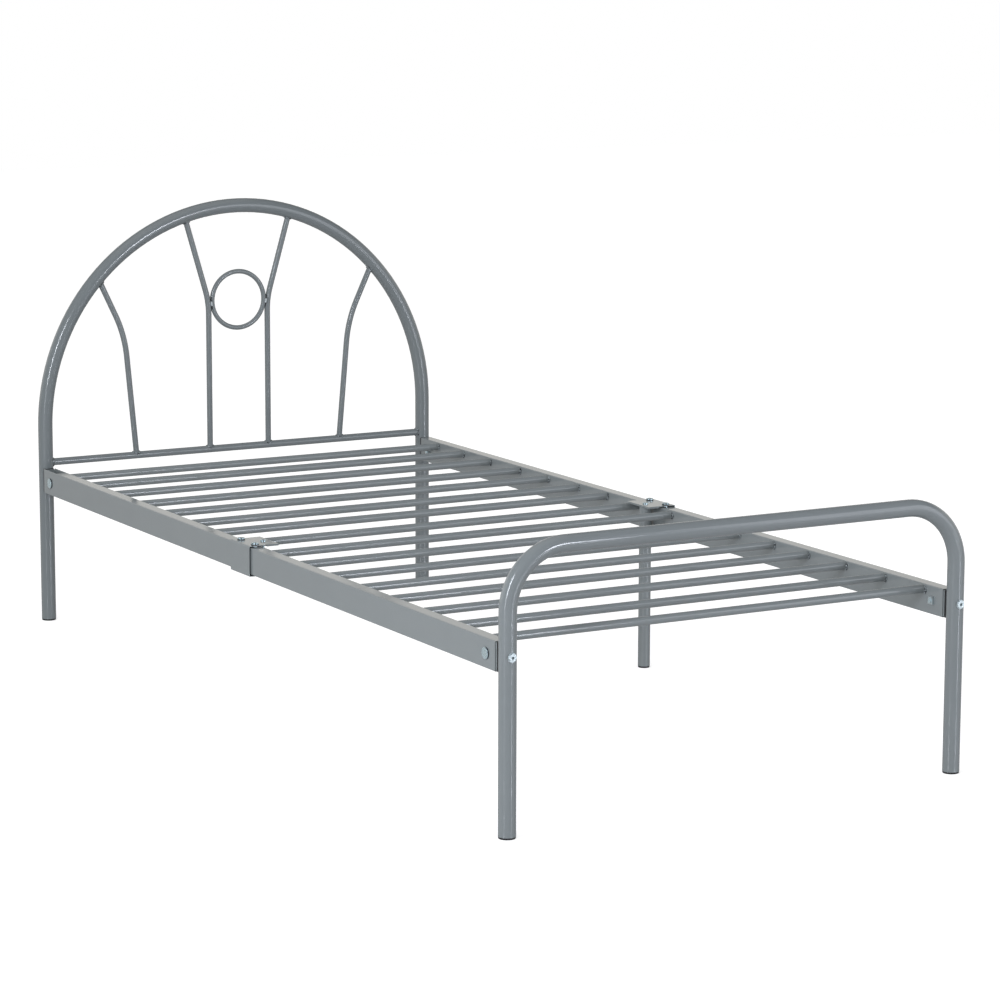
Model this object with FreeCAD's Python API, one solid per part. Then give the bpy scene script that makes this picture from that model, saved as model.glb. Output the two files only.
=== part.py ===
import FreeCAD, Part
import math
import os

# Single metal bed frame, millimetres.
# Origin: on the floor, in the middle of the overall box.
# +X is the right-hand side for someone who stands at the foot, +Y is the headboard, +Z is up.

V = FreeCAD.Vector
X_AXIS = V(1, 0, 0)
Y_AXIS = V(0, 1, 0)
Z_AXIS = V(0, 0, 1)

# overall layout
FRAME_LENGTH = 1950.0        # headboard leg axis to footboard leg axis
FRAME_WIDTH = 886.0          # leg axis to leg axis
RAIL_TOP = 323.0             # height of the side rails' top face
HEAD_Y = FRAME_LENGTH / 2
FOOT_Y = -FRAME_LENGTH / 2
LEG_X = FRAME_WIDTH / 2

# headboard and footboard tube
MAIN_D = 30.0
MAIN_WALL = 1.5
ARCH_SPRING_Z = 407.0        # the legs end here and the half circle begins
HOOP_TOP_Z = 475.5           # axis of the footboard's top bar
HOOP_BEND_R = 104.0

# headboard filling
CROSS_D = 15.0
CROSS_WALL = 1.2
CROSS_Z = 333.5
SPINDLE_D = 12.0
SPINDLE_WALL = 1.0
# a spindle leaves the cross rail at FOOT_X, leans out by LOW degrees, bends at BEND_Z to HIGH degrees
INNER_FOOT_X = 68.5
INNER_LOW = 0.0
INNER_HIGH = 16.3
INNER_BEND_Z = 649.0
INNER_BEND_R = 180.0
OUTER_FOOT_X = 238.5
OUTER_LOW = 5.2
OUTER_HIGH = 25.4
OUTER_BEND_Z = 590.0
OUTER_BEND_R = 260.0
SPINDLE_REACH = 340.0        # length beyond the bend before the arch trims it
RING_Z = 650.0
RING_OUTER_D = 130.0
RING_ROD_D = 10.0

# side rails, rectangular tube in two halves
RAIL_W = 25.0
RAIL_H = 50.0
RAIL_WALL = 1.2
RAIL_CORNER = 1.6
RAIL_END_GAP = 19.0          # rail end to leg axis
NOTCH_LEFT = 65.0            # left rail's top wall cut away at the headboard end
JOINT_Y = -5.5
JOINT_SLIT = 1.0             # gap between the two halves

# slats, round tube welded between the rails
SLAT_D = 15.0
SLAT_WALL = 1.0
SLAT_DROP = 9.0              # slat axis below the rails' top face
SLAT_Z = RAIL_TOP - SLAT_DROP
# stations along the bed; both halves have eight, and the spaces differ a little
HEAD_SLATS = (880.0, 767.0, 648.0, 522.0, 403.0, 281.0, 169.0, 42.0)
FOOT_SLATS = (-74.0, -191.0, -312.0, -430.0, -542.0, -661.0, -782.0, -899.0)

# middle connectors and leg
CONN_T = 3.6                 # leaf and the packing under it, over the head half
CONN_CLEAR = 2.4             # room under the leaf round the foot half, which slides in
CONN_CLEAR_IN = 8.0          # the same towards the middle of the bed
CONN_BACK = 41.5             # from the joint towards the headboard
CONN_FRONT = 38.5            # from the joint towards the footboard
CONN_REACH = 31.5            # top leaf beyond the rail's inner wall
CONN_BOLT = 29.5             # bolts, each way from the joint
CONN_BEND_R = 2.4
MID_LEG_D = 24.0
MID_LEG_WALL = 1.5
MID_LEG_GAP = 5.0            # leg to the rail's inner wall
MID_LEG_X = LEG_X - RAIL_W / 2 - MID_LEG_GAP - MID_LEG_D / 2
MID_LEG_STEP = 2.5           # leg axis towards the footboard from the joint
MID_LEG_Y = JOINT_Y - MID_LEG_STEP
PLUG_H = 15.0
PLUG_DROP = 0.5              # plug below the leg's end

# rail end brackets
BRACKET_T = 2.5
BRACKET_H = 46.4
BRACKET_LEN = 74.0           # from the leg axis
BRACKET_GAP = 0.2            # web to pad, and side leaves to rail
BRACKET_BEND_R = 4.0         # outside of the two upright bends
SADDLE_T = 1.2               # plastic pad between a leg and a bracket's web, at its thinnest
SADDLE_W = 21.0
SADDLE_H = 49.0
SADDLE_WRAP = 3.5            # how far the pad's two sides reach round the leg
SADDLE_FIT = 0.1             # pad to leg
BOLT_FROM_LEG_HEAD = 53.0
BOLT_FROM_LEG_FOOT = 49.0
BOLT_Z = RAIL_TOP - RAIL_H / 2
LEG_SCREW_RISE = 3.0         # leg screws above the rail bolts
LEG_SCREW_Z = BOLT_Z + LEG_SCREW_RISE

# fasteners
BOLT_D = 8.0
BOLT_HOLE_D = 8.5
BOLT_TAIL = 1.5              # thread that shows past a nut or a web
RAIL_HEAD_D = 20.0           # head of a rail bolt
RAIL_HEAD_H = 1.2
SPACER_D = 20.0              # plastic washer under that head
SPACER_T = 1.6
NUT_AF = 13.0
NUT_H = 4.5
NUT_CORNER = 0.8
PAN_D = 14.0
PAN_H = 2.6
PAN_SPACER_D = 14.4          # plastic washer under a joint bolt's head
PAN_SPACER_T = 1.4
LEG_HEAD_D = 14.6
LEG_HEAD_H = 1.8
SOCKET_AF = 5.0              # hexagon socket of a leg screw, across flats
SOCKET_DEPTH = 4.0           # from the head's face, so it goes down into the shank
WASHER_D = 16.0
WASHER_T = 0.8
SMALL_D = 5.0
SMALL_LENGTH = 14.0
SMALL_HEAD_D = 11.0
SMALL_HEAD_H = 2.6
CROWN_RATIO = 0.6            # rounding of a head, as a part of its height
DRIVE_DEPTH_RATIO = 0.5      # cross recess, as a part of the head's height
DRIVE_ARM_RATIO = 0.5        # cross recess, as a part of the head's diameter
DRIVE_SLOT_RATIO = 0.13

# glides under the legs
GLIDE_T = 3.5
GLIDE_INSET = 0.4            # flange inside the tube's outline
GLIDE_STEM = 18.0
GLIDE_ROUND = 1.2

# picking of edges
ALONG = 0.9                  # an edge runs along an axis if its unit tangent's part is over this
NEAR = 0.01                  # distance that counts as on a plane

# cutters
PIERCE = 60.0                # length of a cutter that goes through one part
PAST = 1.0                   # how far a cutter runs past the face that it opens

SIDES = (("left", -1), ("right", 1))


def write(name, shape):
    shape.exportStep(os.path.join("parts", name + ".step"))
    print(name, shape.isValid(), len(shape.Solids), round(shape.Volume, 1))


def rod(start, direction, length, diameter):
    return Part.makeCylinder(diameter / 2, length, start, direction)


def pipe(start, direction, length, outer, wall):
    """A round tube along a straight line, open at both ends."""
    body = rod(start, direction, length, outer)
    return body.cut(rod(start, direction, length, outer - 2 * wall))


def hole(x, y, z, axis, diameter):
    """A cutter that is centred on the given point."""
    return rod(V(x, y, z) - axis * (PIERCE / 2), axis, PIERCE, diameter)


def block(x_a, x_b, y_a, y_b, z_a, z_b):
    """A box between two stations on each axis, given in either order."""
    low = V(min(x_a, x_b), min(y_a, y_b), min(z_a, z_b))
    return Part.makeBox(abs(x_b - x_a), abs(y_b - y_a), abs(z_b - z_a), low)


def ring_arc(centre, start_dir, radius, tube_r, angle):
    """Part of a ring in the XZ plane, swept from start_dir about -Y."""
    circle = Part.makeCircle(tube_r, centre + start_dir * radius, start_dir.cross(Y_AXIS))
    face = Part.Face(Part.Wire(circle))
    return face.revolve(centre, V(0, -1, 0), angle)


def half_circle(tube_r):
    """The headboard's half circle as a round bar."""
    return ring_arc(V(0, HEAD_Y, ARCH_SPRING_Z), X_AXIS, LEG_X, tube_r, 180)


def leg_and_arch(tube_r):
    """Both headboard legs and the half circle over them, as one round bar."""
    bar = half_circle(tube_r)
    for x in (-LEG_X, LEG_X):
        leg = Part.makeCylinder(tube_r, ARCH_SPRING_Z - GLIDE_T, V(x, HEAD_Y, GLIDE_T), Z_AXIS)
        bar = bar.fuse(leg)
    return bar


def leg_and_hoop(tube_r):
    """Both footboard legs, the corner bends and the top bar, as one round bar."""
    bend_x = LEG_X - HOOP_BEND_R
    bend_z = HOOP_TOP_Z - HOOP_BEND_R
    bar = Part.makeCylinder(tube_r, 2 * bend_x, V(-bend_x, FOOT_Y, HOOP_TOP_Z), X_AXIS)
    bar = bar.fuse(ring_arc(V(bend_x, FOOT_Y, bend_z), X_AXIS, HOOP_BEND_R, tube_r, 90))
    bar = bar.fuse(ring_arc(V(-bend_x, FOOT_Y, bend_z), Z_AXIS, HOOP_BEND_R, tube_r, 90))
    for x in (-LEG_X, LEG_X):
        leg = Part.makeCylinder(tube_r, bend_z - GLIDE_T, V(x, FOOT_Y, GLIDE_T), Z_AXIS)
        bar = bar.fuse(leg)
    return bar


def drilled_frame(outer, bore, y):
    """A bent leg frame made hollow, with a screw hole right through each leg."""
    tube = outer.cut(bore)
    for x in (-LEG_X, LEG_X):
        tube = tube.cut(hole(x, y, LEG_SCREW_Z, Y_AXIS, BOLT_HOLE_D))
    return tube.removeSplitter()


def headboard_tube():
    return drilled_frame(leg_and_arch(MAIN_D / 2), leg_and_arch(MAIN_D / 2 - MAIN_WALL), HEAD_Y)


def footboard_tube():
    return drilled_frame(leg_and_hoop(MAIN_D / 2), leg_and_hoop(MAIN_D / 2 - MAIN_WALL), FOOT_Y)


def cross_rail():
    """The bar between the headboard legs, its ends cut to fit round the legs."""
    bar = pipe(V(-LEG_X, HEAD_Y, CROSS_Z), X_AXIS, 2 * LEG_X, CROSS_D, CROSS_WALL)
    for x in (-LEG_X, LEG_X):
        bar = bar.cut(hole(x, HEAD_Y, CROSS_Z, Z_AXIS, MAIN_D))
    return bar


def spindle_bar(foot_x, low, high, bend_z, bend_r, radius):
    """A round bar with one gentle bend, from the cross rail's axis to beyond the arch."""
    low_a = math.radians(low)
    high_a = math.radians(high)
    low_dir = V(math.sin(low_a), 0, math.cos(low_a))
    high_dir = V(math.sin(high_a), 0, math.cos(high_a))
    start = V(foot_x, HEAD_Y, CROSS_Z)
    corner = start + low_dir * ((bend_z - CROSS_Z) / math.cos(low_a))
    tangent = bend_r * math.tan((high_a - low_a) / 2)
    bend_start = corner - low_dir * tangent
    lower = Part.makeCylinder(radius, (bend_start - start).Length, start, low_dir)
    centre = bend_start + V(low_dir.z, 0, -low_dir.x) * bend_r
    circle = Part.makeCircle(radius, bend_start, low_dir)
    bend = Part.Face(Part.Wire(circle)).revolve(centre, Y_AXIS, high - low)
    bend_end = corner + high_dir * tangent
    upper = Part.makeCylinder(radius, SPINDLE_REACH - tangent, bend_end, high_dir)
    return lower.fuse(bend).fuse(upper)


def inner_bar(radius):
    return spindle_bar(INNER_FOOT_X, INNER_LOW, INNER_HIGH, INNER_BEND_Z, INNER_BEND_R, radius)


def outer_bar(radius):
    return spindle_bar(OUTER_FOOT_X, OUTER_LOW, OUTER_HIGH, OUTER_BEND_Z, OUTER_BEND_R, radius)


def inside_arch():
    """Everything under the arch's axis, as thick as a cutter is long."""
    y0 = HEAD_Y - PIERCE / 2
    disc = Part.makeCylinder(LEG_X, PIERCE, V(0, y0, ARCH_SPRING_Z), Y_AXIS)
    return disc.fuse(block(-LEG_X, LEG_X, y0, y0 + PIERCE, 0, ARCH_SPRING_Z))


def spindle(bar, side):
    """A hollow spindle cut to fit the arch above and the cross rail below."""
    tube = bar(SPINDLE_D / 2).cut(bar(SPINDLE_D / 2 - SPINDLE_WALL))
    tube = tube.common(inside_arch())
    tube = tube.cut(half_circle(MAIN_D / 2))
    tube = tube.cut(rod(V(-LEG_X, HEAD_Y, CROSS_Z), X_AXIS, 2 * LEG_X, CROSS_D))
    if side < 0:
        tube = tube.mirror(V(0, 0, 0), X_AXIS)
    return tube


def decor_ring():
    """The ring of round rod between the inner spindles, hollowed a little where they touch it."""
    centre_r = (RING_OUTER_D - RING_ROD_D) / 2
    ring = Part.makeTorus(centre_r, RING_ROD_D / 2, V(0, HEAD_Y, RING_Z), Y_AXIS)
    right = inner_bar(SPINDLE_D / 2)
    return ring.cut(right).cut(right.mirror(V(0, 0, 0), X_AXIS))


def rounded_bar(x, y0, y1, z_top, width, height, corner):
    """A bar along Y with its four long edges rounded, centred on x."""
    bar = block(x - width / 2, x + width / 2, y0, y1, z_top - height, z_top)
    long_edges = [e for e in bar.Edges if abs(e.tangentAt(e.FirstParameter).y) > ALONG]
    return bar.makeFillet(corner, long_edges)


def rail_half(x, y0, y1):
    """A piece of rectangular tube along Y, open at both ends."""
    outer = rounded_bar(x, y0, y1, RAIL_TOP, RAIL_W, RAIL_H, RAIL_CORNER)
    bore = rounded_bar(x, y0 - PAST, y1 + PAST, RAIL_TOP - RAIL_WALL, RAIL_W - 2 * RAIL_WALL,
                       RAIL_H - 2 * RAIL_WALL, RAIL_CORNER - RAIL_WALL)
    return outer.cut(bore)


def head_rail(side):
    """The rail half at the headboard. The left one's top wall is cut back over the bracket."""
    x = side * LEG_X
    end = HEAD_Y - RAIL_END_GAP
    rail = rail_half(x, JOINT_Y + JOINT_SLIT / 2, end)
    if side < 0:
        inner = RAIL_W / 2 - RAIL_WALL
        rail = rail.cut(block(x - inner, x + inner, end - NOTCH_LEFT, end + PAST,
                              RAIL_TOP - RAIL_WALL - PAST, RAIL_TOP + PAST))
    rail = rail.cut(hole(x, HEAD_Y - BOLT_FROM_LEG_HEAD, BOLT_Z, X_AXIS, BOLT_HOLE_D))
    return rail.cut(hole(x, JOINT_Y + CONN_BOLT, RAIL_TOP, Z_AXIS, BOLT_HOLE_D))


def foot_rail(side):
    """The rail half at the footboard."""
    x = side * LEG_X
    rail = rail_half(x, FOOT_Y + RAIL_END_GAP, JOINT_Y - JOINT_SLIT / 2)
    rail = rail.cut(hole(x, FOOT_Y + BOLT_FROM_LEG_FOOT, BOLT_Z, X_AXIS, BOLT_HOLE_D))
    return rail.cut(hole(x, JOINT_Y - CONN_BOLT, RAIL_TOP, Z_AXIS, BOLT_HOLE_D))


def slat(y):
    half = LEG_X - RAIL_W / 2
    return pipe(V(-half, y, SLAT_Z), X_AXIS, 2 * half, SLAT_D, SLAT_WALL)


def leg_saddles():
    """The plastic pads between the legs and the brackets, hollowed to fit round the legs."""
    pads = []
    for _, side in SIDES:
        for leg_y, end in ((HEAD_Y, 1), (FOOT_Y, -1)):
            x = side * LEG_X
            near = leg_y - end * (MAIN_D / 2 - SADDLE_WRAP)
            far = leg_y - end * (MAIN_D / 2 + SADDLE_T)
            pad = block(x - SADDLE_W / 2, x + SADDLE_W / 2, near, far, BOLT_Z - SADDLE_H / 2,
                        BOLT_Z + SADDLE_H / 2)
            pad = pad.cut(rod(V(x, leg_y, 0), Z_AXIS, RAIL_TOP, MAIN_D + 2 * SADDLE_FIT))
            pads.append(pad.cut(hole(x, leg_y, LEG_SCREW_Z, Y_AXIS, BOLT_HOLE_D)))
    return Part.makeCompound(pads)


def end_bracket(side, end):
    """A folded U that is screwed to a leg and goes into the end of a rail.

    end is 1 at the headboard and -1 at the footboard.
    """
    x = side * LEG_X
    leg_y = HEAD_Y if end > 0 else FOOT_Y
    bolt_off = BOLT_FROM_LEG_HEAD if end > 0 else BOLT_FROM_LEG_FOOT
    half = RAIL_W / 2 - RAIL_WALL - BRACKET_GAP
    web = MAIN_D / 2 + SADDLE_T + BRACKET_GAP
    low = BOLT_Z - BRACKET_H / 2
    high = BOLT_Z + BRACKET_H / 2
    far = leg_y - end * BRACKET_LEN
    shape = block(x - half, x + half, leg_y - end * web, far, low, high)
    bends = []
    for e in shape.Edges:
        upright = abs(e.tangentAt(e.FirstParameter).z) > ALONG
        if upright and abs(e.CenterOfMass.y - (leg_y - end * web)) < NEAR:
            bends.append(e)
    shape = shape.makeFillet(BRACKET_BEND_R, bends)
    leaf = half - BRACKET_T
    shape = shape.cut(block(x - leaf, x + leaf, leg_y - end * (web + BRACKET_T), far - end * PAST,
                            low - PAST, high + PAST))
    shape = shape.cut(hole(x, leg_y - end * bolt_off, BOLT_Z, X_AXIS, BOLT_HOLE_D))
    return shape.cut(hole(x, leg_y, LEG_SCREW_Z, Y_AXIS, BOLT_D))


def connector(side):
    """The folded cover over a rail's middle joint: outer leaf, lower lip and wide top leaf."""
    x = side * LEG_X
    y0 = JOINT_Y - CONN_FRONT
    y1 = JOINT_Y + CONN_BACK
    wall_x = x + side * RAIL_W / 2
    outer_x = wall_x + side * CONN_T
    inner_x = x - side * RAIL_W / 2
    bottom = RAIL_TOP - RAIL_H
    top_leaf = block(outer_x, inner_x - side * CONN_REACH, y0, y1, RAIL_TOP, RAIL_TOP + CONN_T)
    outer_leaf = block(outer_x, wall_x, y0, y1, bottom - CONN_T, RAIL_TOP + CONN_T)
    lip = block(outer_x, inner_x, y0, y1, bottom - CONN_T, bottom)
    body = top_leaf.fuse(outer_leaf).fuse(lip).removeSplitter()
    bends = []
    for e in body.Edges:
        runs_along = abs(e.tangentAt(e.FirstParameter).y) > ALONG
        if runs_along and abs(e.CenterOfMass.x - outer_x) < CONN_T / 2:
            bends.append(e)
    body = body.makeFillet(CONN_BEND_R, bends)
    body = body.cut(block(wall_x + side * CONN_CLEAR, inner_x - side * CONN_CLEAR_IN, y0 - PAST,
                          JOINT_Y, bottom - CONN_CLEAR, RAIL_TOP + CONN_CLEAR))
    for y in (JOINT_Y - CONN_BOLT, JOINT_Y + CONN_BOLT):
        body = body.cut(hole(x, y, RAIL_TOP, Z_AXIS, BOLT_HOLE_D))
    return body.cut(hole(side * MID_LEG_X, MID_LEG_Y, RAIL_TOP, Z_AXIS, SMALL_D))


def middle_leg():
    """The leg under the right-hand middle connector."""
    return pipe(V(MID_LEG_X, MID_LEG_Y, GLIDE_T), Z_AXIS, RAIL_TOP - GLIDE_T, MID_LEG_D, MID_LEG_WALL)


def middle_leg_plug():
    """The threaded plug in the top of the middle leg."""
    low = RAIL_TOP - PLUG_DROP - PLUG_H
    return pipe(V(MID_LEG_X, MID_LEG_Y, low), Z_AXIS, PLUG_H, MID_LEG_D - 2 * MID_LEG_WALL,
                MID_LEG_D / 2 - MID_LEG_WALL - SMALL_D / 2)


def round_head(diameter, height):
    """A shallow round head: a disc with its top edge rounded over."""
    head = Part.makeCylinder(diameter / 2, height)
    rim = [e for e in head.Edges if abs(e.CenterOfMass.z - height) < NEAR]
    return head.makeFillet(height * CROWN_RATIO, rim)


def drive_cross(diameter, height):
    """The cross recess of a screw head, ready to be cut."""
    arm = diameter * DRIVE_ARM_RATIO / 2
    slot = diameter * DRIVE_SLOT_RATIO / 2
    floor = height * (1 - DRIVE_DEPTH_RATIO)
    across = block(-arm, arm, -slot, slot, floor, height + PAST)
    return across.fuse(block(-slot, slot, -arm, arm, floor, height + PAST))


def drive_socket(flats, depth, height):
    """The hexagon socket of a screw, ready to be cut. height is where the head's face lies."""
    corner = flats / math.sqrt(3)
    angles = [math.radians(60 * i) for i in range(7)]
    outline = Part.makePolygon([V(corner * math.cos(a), corner * math.sin(a), height - depth)
                                for a in angles])
    return Part.Face(outline).extrude(Z_AXIS * (depth + PAST))


def flat_bolt(length):
    """A bolt with a plain low head; the underside of the head is at z = 0, the shank points down."""
    return round_head(RAIL_HEAD_D, RAIL_HEAD_H).fuse(rod(V(0, 0, -length), Z_AXIS, length, BOLT_D))


def pan_screw(head_d, head_h, shank_d, length):
    """A cross-recessed pan head screw; the underside of the head is at z = 0."""
    head = round_head(head_d, head_h).cut(drive_cross(head_d, head_h))
    return head.fuse(rod(V(0, 0, -length), Z_AXIS, length, shank_d))


def socket_screw(length):
    """A low-headed hexagon socket screw; the underside of the head is at z = 0."""
    screw = round_head(LEG_HEAD_D, LEG_HEAD_H).fuse(rod(V(0, 0, -length), Z_AXIS, length, BOLT_D))
    return screw.cut(drive_socket(SOCKET_AF, SOCKET_DEPTH, LEG_HEAD_H))


def square_nut():
    """A square nut that stands on z = 0."""
    half = NUT_AF / 2
    body = block(-half, half, -half, half, 0, NUT_H)
    uprights = [e for e in body.Edges if abs(e.tangentAt(e.FirstParameter).z) > ALONG]
    body = body.makeFillet(NUT_CORNER, uprights)
    return body.cut(hole(0, 0, 0, Z_AXIS, BOLT_D))


def place(shape, position, axis):
    """Turn a shape that was made along +Z so that +Z points along axis, then move it."""
    turned = shape.copy()
    turned.Placement = FreeCAD.Placement(position, FreeCAD.Rotation(Z_AXIS, axis))
    return turned


def rail_bolt_spots():
    """Side and Y station of every bolt that crosses a rail."""
    stations = (HEAD_Y - BOLT_FROM_LEG_HEAD, FOOT_Y + BOLT_FROM_LEG_FOOT)
    return [(side, y) for _, side in SIDES for y in stations]


def rail_bolts():
    bolt = flat_bolt(SPACER_T + RAIL_W + NUT_H + BOLT_TAIL)
    seat_x = LEG_X + RAIL_W / 2 + SPACER_T
    return Part.makeCompound([place(bolt, V(side * seat_x, y, BOLT_Z), V(side, 0, 0))
                              for side, y in rail_bolt_spots()])


def rail_spacers():
    """The plastic washers between the rail bolts' heads and the rails."""
    spacer = pipe(V(0, 0, 0), Z_AXIS, SPACER_T, SPACER_D, (SPACER_D - BOLT_HOLE_D) / 2)
    wall_x = LEG_X + RAIL_W / 2
    return Part.makeCompound([place(spacer, V(side * wall_x, y, BOLT_Z), V(side, 0, 0))
                              for side, y in rail_bolt_spots()])


def rail_nuts():
    nut = square_nut()
    out = []
    for side, y in rail_bolt_spots():
        out.append(place(nut, V(side * (LEG_X - RAIL_W / 2), y, BOLT_Z), V(-side, 0, 0)))
    return Part.makeCompound(out)


def leg_screw_spots():
    """The point on each leg where a washer sits and the direction that the screw head faces."""
    spots = []
    for _, side in SIDES:
        spots.append((V(side * LEG_X, HEAD_Y + MAIN_D / 2, LEG_SCREW_Z), Y_AXIS))
        spots.append((V(side * LEG_X, FOOT_Y - MAIN_D / 2, LEG_SCREW_Z), V(0, -1, 0)))
    return spots


def leg_screws():
    length = WASHER_T + MAIN_D + SADDLE_T + BRACKET_GAP + BRACKET_T + BOLT_TAIL
    screw = socket_screw(length)
    return Part.makeCompound([place(screw, seat + axis * WASHER_T, axis)
                              for seat, axis in leg_screw_spots()])


def leg_washers():
    washer = pipe(V(0, 0, 0), Z_AXIS, WASHER_T, WASHER_D, (WASHER_D - BOLT_HOLE_D) / 2)
    return Part.makeCompound([place(washer, seat, axis) for seat, axis in leg_screw_spots()])


def joint_spots():
    """Plan position of the two bolts of each middle joint."""
    stations = (JOINT_Y - CONN_BOLT, JOINT_Y + CONN_BOLT)
    return [(side * LEG_X, y) for _, side in SIDES for y in stations]


def joint_bolts():
    screw = pan_screw(PAN_D, PAN_H, BOLT_D, PAN_SPACER_T + CONN_T + RAIL_WALL + NUT_H + BOLT_TAIL)
    return Part.makeCompound([place(screw, V(x, y, RAIL_TOP + CONN_T + PAN_SPACER_T), Z_AXIS)
                              for x, y in joint_spots()])


def joint_spacers():
    """The plastic washers between the joint bolts' heads and the connectors."""
    spacer = pipe(V(0, 0, 0), Z_AXIS, PAN_SPACER_T, PAN_SPACER_D, (PAN_SPACER_D - BOLT_HOLE_D) / 2)
    return Part.makeCompound([place(spacer, V(x, y, RAIL_TOP + CONN_T), Z_AXIS)
                              for x, y in joint_spots()])


def joint_nuts():
    nut = square_nut()
    return Part.makeCompound([place(nut, V(x, y, RAIL_TOP - RAIL_WALL - NUT_H), Z_AXIS)
                              for x, y in joint_spots()])


def middle_leg_screws():
    screw = pan_screw(SMALL_HEAD_D, SMALL_HEAD_H, SMALL_D, SMALL_LENGTH)
    return Part.makeCompound([place(screw, V(side * MID_LEG_X, MID_LEG_Y, RAIL_TOP + CONN_T), Z_AXIS)
                              for _, side in SIDES])


def glide(x, y, tube_d, wall):
    """A plastic plug with a flange a little narrower than the tube; the leg stands on it."""
    flange = Part.makeCylinder(tube_d / 2 - GLIDE_INSET, GLIDE_T)
    rim = [e for e in flange.Edges if abs(e.CenterOfMass.z) < NEAR]
    flange = flange.makeFillet(GLIDE_ROUND, rim)
    plug = flange.fuse(rod(V(0, 0, GLIDE_T), Z_AXIS, GLIDE_STEM, tube_d - 2 * wall))
    plug.translate(V(x, y, 0))
    return plug


def corner_glides():
    spots = [(x, y) for x in (-LEG_X, LEG_X) for y in (HEAD_Y, FOOT_Y)]
    return Part.makeCompound([glide(x, y, MAIN_D, MAIN_WALL) for x, y in spots])


def build_headboard():
    write("headboard_arch_tube", headboard_tube())
    write("headboard_cross_rail", cross_rail())
    for name, side in SIDES:
        write("headboard_spindle_outer_" + name, spindle(outer_bar, side))
        write("headboard_spindle_inner_" + name, spindle(inner_bar, side))
    write("headboard_ring", decor_ring())


def build_base():
    for name, side in SIDES:
        write("side_rail_head_" + name, head_rail(side))
        write("side_rail_foot_" + name, foot_rail(side))
        write("rail_bracket_head_" + name, end_bracket(side, 1))
        write("rail_bracket_foot_" + name, end_bracket(side, -1))
        write("middle_connector_" + name, connector(side))
    for i, y in enumerate(HEAD_SLATS + FOOT_SLATS):
        write("slat_%02d" % (i + 1), slat(y))
    write("middle_leg_right", middle_leg())
    write("middle_leg_plug", middle_leg_plug())


def build_small_parts():
    write("rail_bolts", rail_bolts())
    write("rail_spacers", rail_spacers())
    write("joint_spacers", joint_spacers())
    write("leg_saddles", leg_saddles())
    write("rail_nuts", rail_nuts())
    write("leg_screws", leg_screws())
    write("leg_washers", leg_washers())
    write("joint_bolts", joint_bolts())
    write("joint_nuts", joint_nuts())
    write("middle_leg_screws", middle_leg_screws())
    write("foot_glides", corner_glides())
    write("middle_leg_glide", glide(MID_LEG_X, MID_LEG_Y, MID_LEG_D, MID_LEG_WALL))


os.makedirs("parts", exist_ok=True)
build_headboard()
write("footboard_hoop_tube", footboard_tube())
build_base()
build_small_parts()
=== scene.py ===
import logging
import math
import random
from dataclasses import dataclass, field
from enum import Enum
from typing import Any, Callable, Iterable

import bmesh
import bpy
from mathutils import Matrix, Vector


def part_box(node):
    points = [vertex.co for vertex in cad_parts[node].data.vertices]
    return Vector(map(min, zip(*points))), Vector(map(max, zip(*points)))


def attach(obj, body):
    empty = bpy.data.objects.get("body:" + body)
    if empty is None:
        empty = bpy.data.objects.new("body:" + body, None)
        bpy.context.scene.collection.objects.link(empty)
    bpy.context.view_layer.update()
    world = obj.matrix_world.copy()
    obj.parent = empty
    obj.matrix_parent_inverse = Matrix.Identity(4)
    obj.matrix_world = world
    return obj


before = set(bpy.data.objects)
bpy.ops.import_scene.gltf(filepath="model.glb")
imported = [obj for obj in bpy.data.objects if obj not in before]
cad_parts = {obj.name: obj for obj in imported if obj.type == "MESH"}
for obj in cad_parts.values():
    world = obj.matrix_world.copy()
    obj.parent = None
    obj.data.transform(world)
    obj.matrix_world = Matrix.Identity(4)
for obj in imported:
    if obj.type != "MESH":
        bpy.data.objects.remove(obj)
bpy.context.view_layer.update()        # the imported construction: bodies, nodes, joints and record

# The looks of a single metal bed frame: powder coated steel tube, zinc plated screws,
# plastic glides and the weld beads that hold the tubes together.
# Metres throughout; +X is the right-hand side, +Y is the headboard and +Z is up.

MM = 0.001
BODY = "root"
FULL_TURN = 2 * math.pi

log = logging.getLogger("bed_frame")


class Side(Enum):
    """A long side of the bed, with its sign along X."""

    LEFT = -1
    RIGHT = 1


# ---------------------------------------------------------------- small helpers


def linear(colour: str) -> tuple[float, float, float, float]:
    """Turns an sRGB hex colour into the linear colour that a shader works with.

    Args:
        colour: the colour as "#rrggbb".

    Returns:
        Red, green, blue and an alpha of 1.
    """
    parts = [int(colour[i:i + 2], 16) / 255 for i in (1, 3, 5)]
    rgb = [c / 12.92 if c <= 0.04045 else ((c + 0.055) / 1.055) ** 2.4 for c in parts]
    return (rgb[0], rgb[1], rgb[2], 1.0)


def add_node(tree: bpy.types.NodeTree, kind: str, settings: dict[str, Any] | None = None,
             inputs: dict[Any, Any] | None = None) -> bpy.types.Node:
    """Adds a node with its settings, and gives its inputs a value or a link.

    Args:
        tree: the node tree that gets the node.
        kind: the node's type name.
        settings: properties of the node by name.
        inputs: a value, or the socket to link from, by input name or number.

    Returns:
        The new node.
    """
    node = tree.nodes.new(kind)
    for name, value in (settings or {}).items():
        setattr(node, name, value)
    for name, value in (inputs or {}).items():
        if isinstance(value, bpy.types.NodeSocket):
            tree.links.new(value, node.inputs[name])
        else:
            node.inputs[name].default_value = value
    return node


def per_mm(spacing: float) -> float:
    """The scale of a noise pattern in metres whose grains are the given millimetres apart."""
    return 1.0 / (spacing * MM)


def deselect() -> None:
    """Deselects everything, so that an operator works on the new object alone."""
    bpy.ops.object.select_all(action="DESELECT")


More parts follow.
